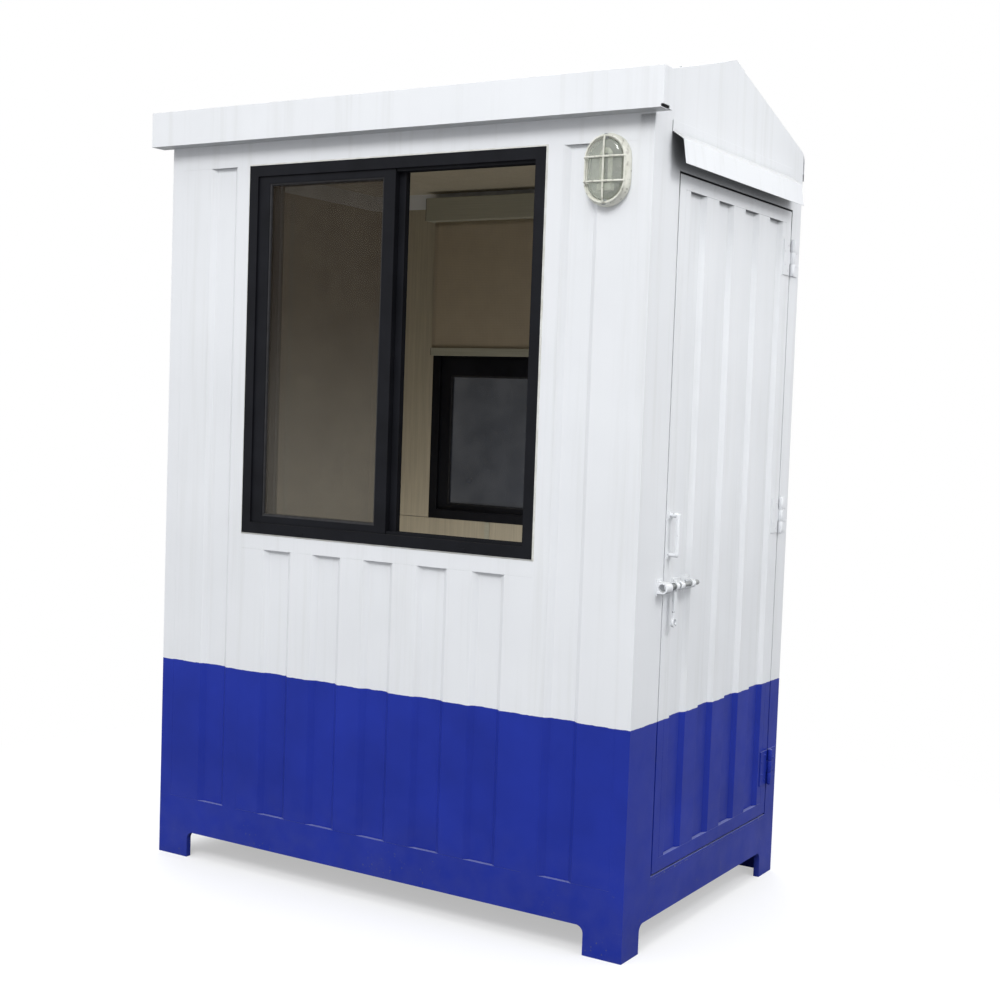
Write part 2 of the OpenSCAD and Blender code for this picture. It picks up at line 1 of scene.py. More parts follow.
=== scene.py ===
"""Finishes a small security guard cabin round its construction model.

Each operator makes one group of pieces. The sizes and colours that a user would change are
properties of the scene, and everything else follows from the construction model's own boxes.
"""

import json
import math

import bmesh
import bpy
from bpy.props import FloatProperty, FloatVectorProperty, IntProperty, PointerProperty
from mathutils import Matrix, Vector, noise


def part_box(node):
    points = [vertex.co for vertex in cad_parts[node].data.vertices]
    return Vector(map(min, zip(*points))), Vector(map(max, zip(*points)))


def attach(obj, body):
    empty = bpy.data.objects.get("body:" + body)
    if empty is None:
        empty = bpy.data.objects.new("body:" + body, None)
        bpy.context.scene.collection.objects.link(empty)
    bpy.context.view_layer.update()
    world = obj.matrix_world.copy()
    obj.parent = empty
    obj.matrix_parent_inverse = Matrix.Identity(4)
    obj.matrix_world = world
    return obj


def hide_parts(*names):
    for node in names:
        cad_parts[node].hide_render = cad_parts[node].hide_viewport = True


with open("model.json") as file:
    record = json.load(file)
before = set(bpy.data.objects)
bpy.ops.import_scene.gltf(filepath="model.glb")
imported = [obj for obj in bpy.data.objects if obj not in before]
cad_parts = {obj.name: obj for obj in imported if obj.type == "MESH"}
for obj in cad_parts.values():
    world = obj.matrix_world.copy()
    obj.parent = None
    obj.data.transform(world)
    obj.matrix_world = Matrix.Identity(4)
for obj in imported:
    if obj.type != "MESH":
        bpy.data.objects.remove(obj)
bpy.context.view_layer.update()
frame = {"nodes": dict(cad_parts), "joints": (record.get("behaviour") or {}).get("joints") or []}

bl_info = {
    "name": "Guard Cabin Finish",
    "version": (1, 0, 0),
    "blender": (4, 5, 0),
    "location": "View3D > Sidebar > Cabin",
    "description": "Paint, glazing trim, lamp, blind and fixings for a steel guard cabin",
    "category": "Object",
}

MM = 0.001
NODES = frame["nodes"]
CABIN, DOOR, BOLT, LUG = "cabin", "door", "bolt", "lug"


# Colours ------------------------------------------------------------------------------------


def linear(code):
    """An sRGB hex code such as "E6EAEE" as linear red, green and blue."""
    parts = [int(code[i : i + 2], 16) / 255 for i in (0, 2, 4)]
    return tuple(c / 12.92 if c <= 0.04045 else ((c + 0.055) / 1.055) ** 2.4 for c in parts)


def rgba(code):
    return (*linear(code), 1.0)


# Settings -----------------------------------------------------------------------------------


def length(name, text, value):
    return FloatProperty(
        name=name, description=text, default=value, min=0.0, unit="LENGTH", precision=4
    )


def colour(name, text, code):
    return FloatVectorProperty(
        name=name, description=text, default=linear(code), size=3, subtype="COLOR", min=0, max=1
    )


class CabinPaint(bpy.types.PropertyGroup):
    """Colours and the paint line"""

    upper: colour("Upper coat", "Enamel above the paint line", "EDEFF2")
    lower: colour("Lower coat", "Enamel below the paint line", "2235A2")
    line: length("Paint line", "Height of the line between the two coats", 0.6865)
    board: colour("Lining", "Faced lining boards", "C2B9A4")
    cloth: colour("Blind cloth", "Woven blind cloth", "BFB19A")


class CabinTrim(bpy.types.PropertyGroup):
    """Sizes of the small trim"""

    gasket: length("Gasket", "Width of the glazing gasket that shows", 0.007)
    bead: length("Sealant", "Leg of the sealant bead round a window frame", 0.005)
    screw: length("Screw head", "Radius of a countersunk screw head", 0.0045)
    track: length("Track rib", "Height of the sliding window's track ribs", 0.009)
    wire: length("Guard wire", "Radius of the lamp guard's wire", 0.003)
    roof_screws: IntProperty(
        name="Roof screws", description="Screws along each roof purlin", default=7, min=2, max=20
    )


# Materials ----------------------------------------------------------------------------------


def feed(tree, node, inputs):
    """Sets a node's inputs to values, or links them to sockets."""
    for key, value in inputs.items():
        if isinstance(value, bpy.types.NodeSocket):
            tree.links.new(value, node.inputs[key])
        else:
            node.inputs[key].default_value = value


def add(tree, kind, inputs=None, **settings):
    """A node of that kind, with its settings and its inputs."""
    made = tree.nodes.new(kind)
    for key, value in settings.items():
        setattr(made, key, value)
    feed(tree, made, inputs or {})
    return made


def part(tree, vector, axis):
    """The X, Y or Z of a vector."""
    return add(tree, "ShaderNodeSeparateXYZ", {0: vector}).outputs[axis]


def upwards(tree):
    """How far a face looks up: 1 is straight up and -1 straight down."""
    return part(tree, add(tree, "ShaderNodeNewGeometry").outputs["Normal"], "Z")


def blank(name):
    """A new node material: the material, its tree, its shader and the object's own coordinates."""
    material = bpy.data.materials.new(name)
    material.use_nodes = True
    tree = material.node_tree
    shader = tree.nodes["Principled BSDF"]
    place = add(tree, "ShaderNodeTexCoord").outputs["Object"]
    return material, tree, shader, place


def cloudy(tree, place, size_mm, low, high, detail=2.0, stretch=(1, 1, 1)):
    """Noise whose patches are about size_mm across, mapped from its middle range to low..high."""
    scaled = add(tree, "ShaderNodeMapping", {"Vector": place, "Scale": stretch}).outputs[0]
    patches = add(
        tree,
        "ShaderNodeTexNoise",
        {"Vector": scaled, "Scale": 1000 / size_mm, "Detail": detail, "Roughness": 0.55},
    ).outputs["Fac"]
    return add(
        tree,
        "ShaderNodeMapRange",
        {"Value": patches, "From Min": 0.3, "From Max": 0.7, "To Min": low, "To Max": high},
    ).outputs[0]


def threshold(tree, value, start, end):
    """0 below start, 1 above end, smooth between them."""
    return add(
        tree,
        "ShaderNodeMapRange",
        {"Value": value, "From Min": start, "From Max": end},
        interpolation_type="SMOOTHSTEP",
    ).outputs[0]


def calc(tree, operation, a, b=0.0, clamp=False):
    return add(
        tree, "ShaderNodeMath", {0: a, 1: b}, operation=operation, use_clamp=clamp
    ).outputs[0]


def blend(tree, share, first, second):
    """Two colours mixed by share; each is a socket or linear colour."""
    first, second = (
        c if isinstance(c, bpy.types.NodeSocket) else (*c, 1.0)[:4] for c in (first, second)
    )
    return add(tree, "ShaderNodeMix", {0: share, 6: first, 7: second}, data_type="RGBA").outputs[2]


def mottled(tree, place, size_mm, first, second, detail=4.0):
    """Patches about size_mm across that run from one colour code to the other."""
    patches = cloudy(tree, place, size_mm, 0.0, 1.0, detail)
    return blend(tree, patches, linear(first), linear(second))


def dents(tree, shader, height, depth_mm, after=None):
    """Bump of depth_mm for a 0..1 height, on top of an earlier bump."""
    inputs = {"Height": height, "Distance": depth_mm * MM, "Strength": 1.0}
    if after is not None:
        inputs["Normal"] = after
    bump = add(tree, "ShaderNodeBump", inputs).outputs[0]
    tree.links.new(bump, shader.inputs["Normal"])
    return bump


def sprayed_enamel(paint, name="sprayed_enamel_on_steel", worn=0.0):
    """Gloss enamel sprayed on folded steel sheet, in two coats that meet at the paint line.

    The sheet is never quite flat, so broad shallow waves bend its reflections, and the spray
    leaves a fine orange peel. Rain draws faint streaks down the white, and dust and small
    chips gather low on the blue. With worn, hands have rubbed it through in patches.
    """
    material, tree, shader, place = blank(name)
    height = part(tree, place, "Z")
    ragged = cloudy(tree, place, 25, -0.0010, 0.0010)
    edge = calc(tree, "ADD", height, ragged)
    above = threshold(tree, edge, paint.line - 0.0008, paint.line + 0.0008)

    # Broad patches of slightly different tone, as hand-sprayed enamel has
    patchy = cloudy(tree, place, 420, 0.0, 1.0, 3.0)
    white = blend(tree, patchy, paint.upper, [c * 0.96 for c in paint.upper])
    # Narrow rain streaks, 30 mm apart and drawn out downwards
    streaks = cloudy(tree, place, 30, 0.0, 1.0, 3.0, (1, 1, 0.035))
    streak_share = calc(tree, "MULTIPLY", threshold(tree, streaks, 0.45, 1.1), 0.16)
    white = blend(tree, streak_share, white, linear("C9CAC6"))

    blue_tone = cloudy(tree, place, 260, 0.0, 1.0, 3.0)
    blue = blend(tree, blue_tone, paint.lower, [c * 0.80 for c in paint.lower])
    # Dust thrown up from the ground, thickest at the feet
    dusty_height = threshold(tree, height, 0.42, 0.0)
    dust = calc(tree, "MULTIPLY", dusty_height, cloudy(tree, place, 60, 0.0, 0.12, 5.0))
    blue = blend(tree, dust, blue, linear("6E7088"))
    # Chips down to grey primer, a few millimetres wide
    spots = cloudy(tree, place, 9, 0.0, 1.0, 3.0)
    rare = cloudy(tree, place, 150, 0.0, 1.0, 2.0)
    low = threshold(tree, height, 0.30, 0.02)
    knocked = calc(tree, "MULTIPLY", threshold(tree, rare, 0.62, 0.75), low)
    chips = calc(tree, "MULTIPLY", threshold(tree, spots, 0.90, 0.95), knocked)
    blue = blend(tree, chips, blue, linear("565B70"))

    # Upward faces: on the blue a paler tint, partly dust and partly painted highlight for the light
    # the flute ledges catch from above; on the white a grey for dust
    facing = upwards(tree)
    ledge_dust_and_highlight = calc(tree, "MULTIPLY", threshold(tree, facing, 0.5, 0.9), 0.5)
    blue = blend(tree, ledge_dust_and_highlight, blue, linear("9DA3C4"))
    white = blend(tree, ledge_dust_and_highlight, white, linear("9FA09C"))
    # Painted shade on undersides: faces that look down are darkened towards grey, for the shade under
    # the fascia and the hood
    painted_underside_shade = calc(tree, "MULTIPLY", threshold(tree, facing, -0.5, -0.9), 0.6)
    white = blend(tree, painted_underside_shade, white, linear("6C6E6F"))
    # Painted shadow under the door's hood: where ambient occlusion finds the wall, posts and door top
    # sheltered, they are darkened towards near black
    hood_low, hood_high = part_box("door_hood")
    hood_occlusion = add(tree, "ShaderNodeAmbientOcclusion", {"Distance": 0.10}, samples=8).outputs["AO"]
    on_end = threshold(tree, part(tree, place, "X"), hood_low.x - 0.05, hood_low.x - 0.04)
    over_door = threshold(tree, height, hood_low.z - 0.10, hood_low.z - 0.04)
    under_top = threshold(tree, height, hood_high.z, hood_high.z - 0.005)
    painted_hood_shadow = calc(tree, "MULTIPLY", threshold(tree, hood_occlusion, 0.85, 0.45), 0.75)
    for reach in (on_end, over_door, under_top):
        painted_hood_shadow = calc(tree, "MULTIPLY", painted_hood_shadow, reach)
    white = blend(tree, painted_hood_shadow, white, linear("34373A"))
    shade = blend(tree, above, blue, white)
    if worn:
        # Handled hardware: paint rubbed through to dull zinc in patches
        rubbed = threshold(tree, cloudy(tree, place, 12, 0.0, 1.0, 4.0), 1.0 - worn, 1.12 - worn)
        shade = blend(tree, rubbed, shade, linear("8B8F92"))
        tree.links.new(calc(tree, "MULTIPLY", rubbed, 0.8), shader.inputs["Metallic"])
    feed(tree, shader, {
        "Base Color": shade,
        "Roughness": cloudy(tree, place, 90, 0.30, 0.44, 3.0),
        "IOR": 1.5,
        "Specular IOR Level": 0.18,
    })

    waves = cloudy(tree, place, 330, 0.0, 1.0, 1.0)
    bump = dents(tree, shader, waves, 1.6)
    # Orange peel is about 2 mm across; drawn at 4 mm so that it still shows
    peel = cloudy(tree, place, 4, 0.0, 1.0, 1.0)
    dents(tree, shader, peel, 0.035, bump)
    return material


def powder_coat():
    """Dark powder coat on extruded aluminium: a fine even grain, dust along the sills."""
    material, tree, shader, place = blank("powder_coated_aluminium")
    base = mottled(tree, place, 120, "15161A", "1C1D22", 3.0)
    flat = threshold(tree, upwards(tree), 0.6, 0.95)
    dust = calc(tree, "MULTIPLY", flat, cloudy(tree, place, 35, 0.05, 0.25, 4.0))
    feed(tree, shader, {
        "Base Color": blend(tree, dust, base, linear("55534D")),
        "Roughness": cloudy(tree, place, 50, 0.42, 0.56),
        "Specular IOR Level": 0.1,
    })
    # Grain is about 0.4 mm; drawn at 1.5 mm so that it shows
    dents(tree, shader, cloudy(tree, place, 1.5, 0.0, 1.0, 1.0), 0.03)
    return material


def float_glass(name, code, cover, film):
    """Body-tinted float glass: clear reflections, a darkened view and dust, thickest low down."""
    material, tree, shader, place = blank(name)
    smear = cloudy(tree, place, 160, 0.06, 0.14, 4.0, (1, 1, 0.4))
    height = part(tree, place, "Z")
    # Rain splashes dust onto the lowest 0.8 m of the windows
    splashed = calc(tree, "MULTIPLY", threshold(tree, height, 2.0, 1.2), film)
    dust = calc(tree, "ADD", calc(tree, "MULTIPLY", smear, 0.5), splashed)
    body = blend(tree, dust, linear(code), linear("8A857A"))
    feed(tree, shader, {
        "Base Color": body,
        "Roughness": cloudy(tree, place, 110, 0.03, 0.10, 3.0),
        "Alpha": cloudy(tree, place, 140, cover - 0.03, cover + 0.03, 3.0),
        "IOR": 1.52,
        "Specular IOR Level": 0.2,
    })
    return material


def faced_board(paint):
    """Melamine-faced board: a pale satin print of fine upright grain."""
    material, tree, shader, place = blank("melamine_faced_board")
    grain = cloudy(tree, place, 7, 0.0, 1.0, 4.0, (1, 1, 0.03))
    broad = cloudy(tree, place, 350, 0.0, 1.0, 3.0)
    base = blend(tree, grain, paint.board, [c * 0.80 for c in paint.board])
    base = blend(tree, calc(tree, "MULTIPLY", broad, 0.18), base, linear("8C8273"))
    feed(tree, shader, {
        "Base Color": base,
        "Roughness": cloudy(tree, place, 60, 0.42, 0.55),
    })
    dents(tree, shader, grain, 0.05)
    return material


def vinyl_floor():
    """Vinyl sheet on board: speckled grey-brown with scuffs from shoes."""
    material, tree, shader, place = blank("speckled_vinyl_sheet")
    speck = add(tree, "ShaderNodeTexVoronoi", {"Vector": place, "Scale": 1000 / 6}).outputs["Color"]
    tone = part(tree, speck, "X")
    base = blend(tree, tone, linear("6A6156"), linear("8C8376"))
    scuff = threshold(tree, cloudy(tree, place, 120, 0.0, 1.0, 5.0, (1, 3, 1)), 0.7, 1.0)
    base = blend(tree, calc(tree, "MULTIPLY", scuff, 0.5), base, linear("4A443C"))
    feed(tree, shader, {
        "Base Color": base,
        "Roughness": cloudy(tree, place, 80, 0.35, 0.6, 3.0),
    })
    dents(tree, shader, tone, 0.05)
    return material


def primed_steel():
    """Hot-rolled steel in dull grey primer, with rust freckles where the brush skipped."""
    material, tree, shader, place = blank("primed_hot_rolled_steel")
    base = mottled(tree, place, 70, "55585B", "6A6C6D")
    rust = threshold(tree, cloudy(tree, place, 22, 0.0, 1.0, 5.0), 0.78, 0.95)
    feed(tree, shader, {
        "Base Color": blend(tree, rust, base, linear("6A4630")),
        "Roughness": cloudy(tree, place, 30, 0.6, 0.8),
    })
    dents(tree, shader, cloudy(tree, place, 6, 0.0, 1.0, 4.0), 0.12)
    return material


def zinc_plate():
    """Bright zinc on turned and pressed steel: silver with patches of dull bloom."""
    material, tree, shader, place = blank("zinc_plated_steel")
    base = mottled(tree, place, 11, "B9BBBA", "8D9092", 5.0)
    feed(tree, shader, {
        "Base Color": base,
        "Metallic": 1.0,
        "Roughness": cloudy(tree, place, 8, 0.28, 0.5, 4.0),
    })
    dents(tree, shader, cloudy(tree, place, 3, 0.0, 1.0, 2.0), 0.03)
    return material


def blind_weave(paint):
    """Coated polyester weave: crossed threads with a soft matt face."""
    material, tree, shader, place = blank("coated_polyester_weave")
    # Threads are 0.5 mm apart; drawn at 1.6 mm so that they show
    thread = 1000 / 1.6
    threads = []
    for axis in ("X", "Z"):
        wave = add(
            tree,
            "ShaderNodeTexWave",
            {"Vector": place, "Scale": thread / (2 * math.pi) * 0.5, "Distortion": 0.6, "Detail": 1.0},
            bands_direction=axis,
        )
        threads.append(wave.outputs["Fac"])
    weave = calc(tree, "MULTIPLY", threads[0], threads[1])
    tone = cloudy(tree, place, 90, 0.0, 1.0, 3.0)
    base = blend(tree, weave, [c * 0.82 for c in paint.cloth], paint.cloth)
    base = blend(tree, calc(tree, "MULTIPLY", tone, 0.15), base, linear("7C6F60"))
    feed(tree, shader, {
        "Base Color": base,
        "Roughness": 0.85,
        "Sheen Weight": 0.15,
    })
    dents(tree, shader, weave, 0.12)
    return material


def satin_extrusion():
    """Satin painted aluminium: fine die lines along its length."""
    material, tree, shader, place = blank("satin_painted_aluminium")
    lines = cloudy(tree, place, 2.5, 0.0, 1.0, 2.0, (0.01, 1, 1))
    base = blend(tree, lines, linear("B4B2A2"), linear("A6A494"))
    feed(tree, shader, {
        "Base Color": base,
        "Roughness": cloudy(tree, place, 40, 0.35, 0.48),
    })
    dents(tree, shader, lines, 0.03)
    return material


def lamp_enamel():
    """Stoved enamel on die-cast aluminium: yellowed cream with patches of grime."""
    material, tree, shader, place = blank("stoved_enamel_on_casting")
    base = mottled(tree, place, 30, "E6E6DC", "D3D3C7")
    grime = threshold(tree, cloudy(tree, place, 13, 0.0, 1.0, 5.0), 0.66, 0.95)
    base = blend(tree, calc(tree, "MULTIPLY", grime, 0.55), base, linear("6F6C5C"))
    feed(tree, shader, {
        "Base Color": base,
        "Roughness": cloudy(tree, place, 15, 0.3, 0.5),
    })
    dents(tree, shader, cloudy(tree, place, 2.5, 0.0, 1.0, 3.0), 0.08)
    return material


def dull_reflector():
    """Anodised aluminium reflector: dark silver, dulled by heat and dust."""
    material, tree, shader, place = blank("anodised_aluminium_reflector")
    base = mottled(tree, place, 25, "A3A5A0", "C2C3BC")
    feed(tree, shader, {
        "Base Color": base,
        "Metallic": 0.7,
        "Roughness": cloudy(tree, place, 12, 0.35, 0.6, 3.0),
    })
    return material


def pressed_glass():
    """Pressed soda glass: thick, faintly green, with moulded ribs that break up the view."""
    material, tree, shader, place = blank("pressed_soda_glass")
    wave = add(
        tree,
        "ShaderNodeTexWave",
        {"Vector": place, "Scale": 1000 / 7 / (2 * math.pi) * 0.5, "Distortion": 0.0},
        bands_direction="X",
        wave_profile="SIN",
    ).outputs["Fac"]
    feed(tree, shader, {
        "Base Color": rgba("EEF2EA"),
        "Transmission Weight": 0.82,
        "IOR": 1.5,
        "Roughness": cloudy(tree, place, 20, 0.03, 0.1, 3.0),
    })
    dents(tree, shader, wave, 0.4)
    return material


def opal_glass():
    """Opal glass of the lamp's tube and its socket's shroud: milky white, smooth."""
    material, tree, shader, place = blank("opal_glass")
    base = mottled(tree, place, 18, "F1EFE6", "E4E1D5", 2.0)
    feed(tree, shader, {
        "Base Color": base,
        "Roughness": 0.12,
    })
    return material


def gasket_rubber():
    """Extruded EPDM rubber: black, matt, greyed by dust."""
    material, tree, shader, place = blank("extruded_epdm_rubber")
    base = mottled(tree, place, 25, "121214", "26262A")
    feed(tree, shader, {
        "Base Color": base,
        "Roughness": cloudy(tree, place, 10, 0.55, 0.75),
    })
    dents(tree, shader, cloudy(tree, place, 4, 0.0, 1.0), 0.05)
    return material


def silicone():
    """Tooled silicone sealant: off-white, slightly lumpy and waxy."""
    material, tree, shader, place = blank("tooled_silicone_sealant")
    base = mottled(tree, place, 40, "E2E3E0", "C9C8C0")
    feed(tree, shader, {
        "Base Color": base,
        "Roughness": 0.35,
    })
    dents(tree, shader, cloudy(tree, place, 14, 0.0, 1.0, 2.0), 0.4)
    return material


# Mesh helpers -------------------------------------------------------------------------------


def piece(name, mesh, material, body, smooth=True):
    """A finished piece from a bmesh, riding on its body."""
    data = bpy.data.meshes.new(name)
    bmesh.ops.recalc_face_normals(mesh, faces=mesh.faces)
    mesh.to_mesh(data)
    mesh.free()
    for face in data.polygons:
        face.use_smooth = smooth
    if smooth:
        data.set_sharp_from_angle(angle=math.radians(32))
    data.materials.append(material)
    obj = bpy.data.objects.new(name, data)
    bpy.context.scene.collection.objects.link(obj)
    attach(obj, body)
    return obj


def band(mesh, low, high):
    """Faces between two closed rows of vertices."""
    for i in range(len(low)):
        j = (i + 1) % len(low)
        mesh.faces.new((low[i], low[j], high[j], high[i]))


def loft(mesh, rings, cap_start=True, cap_end=True):
    """Faces between rings of the same number of points, with capped ends."""
    rows = [[mesh.verts.new(p) for p in ring] for ring in rings]
    for low, high in zip(rows, rows[1:]):
        band(mesh, low, high)
    if cap_start:
        mesh.faces.new(reversed(rows[0]))
    if cap_end:
        mesh.faces.new(rows[-1])


def circle(centre, across, up, radius, count=12):
    """Points round a circle in the plane of two unit directions."""
    turn = 2 * math.pi / count
    return [
        centre + radius * (math.cos(i * turn) * across + math.sin(i * turn) * up)
        for i in range(count)
    ]


def turned(mesh, centre, axis, profile, count=16):
    """A lathe form: profile is a list of (distance along the axis, radius)."""
    axis = Vector(axis).normalized()
    across = axis.orthogonal().normalized()
    up = axis.cross(across)
    loft(mesh, [circle(Vector(centre) + axis * d, across, up, r, count) for d, r in profile])


def tube(mesh, path, radius, closed=False, count=10):
    """A round bar along a path of points, its section carried without twist."""
    path = [Vector(p) for p in path]
    total = len(path)
    last = None
    rings = []
    for i, point in enumerate(path):
        after = path[(i + 1) % total] if closed or i + 1 < total else point
        before = path[i - 1] if closed or i else point
        along = (after - before).normalized()
        across = along.orthogonal().normalized() if last is None else (
            last - along * last.dot(along)
        ).normalized()
        last = across
        rings.append(circle(point, across, along.cross(across), radius, count))
    if closed:
        rows = [[mesh.verts.new(p) for p in ring] for ring in rings]
        for a in range(total):
            band(mesh, rows[a], rows[(a + 1) % total])
    else:
        loft(mesh, rings)


def frame_strip(mesh, low, high, profile):
    """A mitred strip round an upright rectangle in the XZ plane.

    low and high are the rectangle's (x, z) corners, and profile is a closed list of
    (distance inwards, y) points.
    """
    rows = []
    for x, z, dx, dz in (
        (low[0], low[1], 1, 1),
        (high[0], low[1], -1, 1),
        (high[0], high[1], -1, -1),
        (low[0], high[1], 1, -1),
    ):
        rows.append([mesh.verts.new((x + dx * d, y, z + dz * d)) for d, y in profile])
    for a in range(4):
        band(mesh, rows[a], rows[(a + 1) % 4])


def rounded_bar(mesh, low, high, radius=0.0008):
    """A box with its edges rounded over."""
    made = bmesh.ops.create_cube(mesh, size=1.0)["verts"]
    low, high = Vector(low), Vector(high)
    for v in made:
        v.co = Vector(low[i] + (v.co[i] + 0.5) * (high[i] - low[i]) for i in range(3))
    edges = list({e for v in made for e in v.link_edges})
    bmesh.ops.bevel(mesh, geom=edges, offset=radius, segments=2, affect="EDGES", profile=0.5)


def screw_head(mesh, centre, out, radius, turn=0.0):
    """A domed countersunk head with a cross slot, just proud of the face under it."""
    out = Vector(out).normalized()
    rise = radius * 0.32
    dome = [(0.0, 1.0), (0.45, 0.97), (0.85, 0.75), (1.0, 0.45)]
    turned(mesh, centre, out, [(rise * up, radius * across) for up, across in dome])
    across = Matrix.Rotation(turn, 3, out) @ out.orthogonal().normalized()
    top = Vector(centre) + out * (rise * 1.02)
    for side in (across, out.cross(across)):
        other = out.cross(side)
        ring = [
            top + side * (s * radius * 0.55) + other * (t * radius * 0.10)
            for s, t in ((-1, -1), (1, -1), (1, 1), (-1, 1))
        ]
        loft(mesh, [ring, [p + out * (radius * 0.05) for p in ring]])


def hex_head(mesh, centre, out, radius):
    """A self-drilling roof screw: rubber-backed washer, flange and hexagon head."""
    washer = [(0, 1.6), (0.3, 1.55), (0.45, 1.1)]
    turned(mesh, centre, out, [(radius * up, radius * across) for up, across in washer])
    head = [(0, 1.05), (1.1, 1.0), (1.25, 0.8)]
    turned(mesh, centre, out, [(radius * up, radius * across) for up, across in head], 6)


# Finishes and pieces ------------------------------------------------------------------------


def dress(names, material):
    """Puts a material on construction nodes in place of their plain one."""
    for name in names:
        NODES[name].data.materials.clear()
        NODES[name].data.materials.append(material)


def soften(name, width_mm, segments=2, angle=28.0):
    """Rounds a CAD node's sharp edges by a modifier, and shades it smooth between them."""
    obj = NODES[name]
    weld = obj.modifiers.new("join_corners", "WELD")
    weld.merge_threshold = 0.00002
    bevel = obj.modifiers.new("rounded_edges", "BEVEL")
    bevel.width = width_mm * MM
    bevel.segments = segments
    bevel.limit_method = "ANGLE"
    bevel.angle_limit = math.radians(angle)
    bevel.harden_normals = True
    bevel.use_clamp_overlap = True


def paint_cabin(paint, trim):
    wall = sprayed_enamel(paint)
    dress(
        [
            "feet", "base_rails", "corner_posts", "top_rails", "window_studs", "window_sill_bands",
            "front_side_panels", "front_lower_panel", "rear_side_panels", "rear_lower_panel",
            "left_wall_panel", "door_jambs", "door_header", "door_stops", "gable_panels",
            "roof_sheet", "ridge_cap", "front_fascia", "door_hood", "door_frame",
            "door_outer_skin", "door_inner_skin", "hinge_frame_leaves", "hinge_door_leaves",
        ],
        wall,
    )
    dress(
        ["door_handle", "bolt_guides", "bolt_keep", "bolt_lug", "door_threshold"],
        sprayed_enamel(paint, "rubbed_enamel_on_hardware", 0.16),
    )
    dress(["bolt_rod"], zinc_plate())
    dress(
        ["front_window_frame", "front_sash_shut", "front_sash_open", "rear_window_frame", "rear_sash"],
        powder_coat(),
    )
    dress(["front_window_glass"], float_glass("bronze_float_glass", "2E2417", 0.30, 0.5))
    dress(["rear_window_glass"], float_glass("dark_float_glass", "2B3444", 0.84, 0.04))
    dress(
        ["front_lining", "rear_lining", "left_lining", "right_lining", "ceiling_board"],
        faced_board(paint),
    )
    dress(["floor_deck"], vinyl_floor())
    dress(["floor_bearers", "roof_purlins"], primed_steel())
    dress(["blind_case", "blind_bar"], satin_extrusion())


def round_edges(paint, trim):
    for name in ("front_side_panels", "front_lower_panel", "rear_side_panels", "rear_lower_panel",
                 "left_wall_panel", "door_outer_skin"):
        soften(name, 0.9)
    for name in ("feet", "front_fascia", "door_frame", "door_threshold", "blind_case", "blind_bar",
                 "door_hood", "bolt_keep", "bolt_guides", "bolt_lug", "hinge_frame_leaves",
                 "hinge_door_leaves"):
        soften(name, 0.8)
    for name in ("front_window_frame", "rear_window_frame", "front_sash_shut", "front_sash_open",
                 "rear_sash"):
        soften(name, 1.0)


def glazing(paint, trim):
    """Gaskets, sealant beads, weep caps and the ribs that the sashes slide on."""
    rubber, sealant, coat = gasket_rubber(), silicone(), NODES["front_sash_shut"].data.materials[0]
    low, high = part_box("front_window_frame")
    rear_low, rear_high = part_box("rear_window_frame")

    def pane_gaskets(name, node):
        mesh = bmesh.new()
        for pane_low, pane_high in panes(node):
            for face, step in ((pane_low.y, -1), (pane_high.y, 1)):
                proud = face + step * 0.0045
                wedge = [
                    (0, face),
                    (trim.gasket, face),
                    (trim.gasket * 0.72, proud),
                    (0, proud + step * 0.0015),
                ]
                frame_strip(mesh, (pane_low.x, pane_low.z), (pane_high.x, pane_high.z), wedge)
        piece(name, mesh, rubber, CABIN, False)

    pane_gaskets("front_glazing_gaskets", "front_window_glass")
    pane_gaskets("rear_glazing_gaskets", "rear_window_glass")

    wall_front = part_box("front_lower_panel")[0].y
    wall_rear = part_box("rear_lower_panel")[1].y
    for name, (a, b), wall, step in (
        ("front_window_sealant", (low, high), wall_front, -1),
        ("rear_window_sealant", (rear_low, rear_high), wall_rear, 1),
    ):
        leg = trim.bead
        fillet = [
            (0, wall),
            (leg, wall),
            (leg, wall + step * leg * 0.75),
            (leg * 0.45, wall + step * leg * 0.35),
        ]
        mesh = bmesh.new()
        frame_strip(mesh, (a.x - leg, a.z - leg), (b.x + leg, b.z + leg), fillet)
        piece(name, mesh, sealant, CABIN)

    # Ribs along sill and head of the front frame, one pair for each sash
    mesh = bmesh.new()
    light_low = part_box("front_sash_shut")[0]
    inner_right = high.x - (light_low.x - low.x)
    for node in ("front_sash_shut", "front_sash_open"):
        a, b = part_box(node)
        middle = (a.y + b.y) / 2
        start = b.x + 0.0005
        for z0, z1 in ((a.z, a.z + trim.track), (b.z - trim.track, b.z)):
            for y in (middle - 0.007, middle + 0.0055):
                rounded_bar(mesh, (start, y, z0), (inner_right, y + 0.0015, z1), 0.0004)
    piece("window_track_ribs", mesh, coat, CABIN, False)

    # Caps over the weep slots of the front and rear frames
    half_w, half_h, proud, cap_up = 0.014, 0.004, 0.0016, 0.011
    mesh = bmesh.new()
    for (a, b), y, out in (((low, high), low.y, -1), ((rear_low, rear_high), rear_high.y, 1)):
        near, far = sorted((y, y + out * proud))
        for share in (0.22, 0.78):
            x = a.x + share * (b.x - a.x)
            z = a.z + cap_up
            rounded_bar(mesh, (x - half_w, near, z - half_h), (x + half_w, far, z + half_h), 0.0006)
    piece("window_weep_caps", mesh, coat, CABIN, False)


def panes(node):
    """The boxes of a node's separate solids, lowest corner first."""
    mesh = bmesh.new()
    mesh.from_mesh(NODES[node].data)
    bmesh.ops.remove_doubles(mesh, verts=mesh.verts, dist=0.00002)
    left, boxes = set(mesh.verts), []
    while left:
        found, queue = set(), [left.pop()]
        while queue:
            v = queue.pop()
            found.add(v)
            for e in v.link_edges:
                o = e.other_vert(v)
                if o in left:
                    left.discard(o)
                    queue.append(o)
        points = [v.co for v in found]
        boxes.append((
            Vector(min(p[i] for p in points) for i in range(3)),
            Vector(max(p[i] for p in points) for i in range(3)),
        ))
    mesh.free()
    return sorted(boxes, key=lambda b: tuple(b[0]))


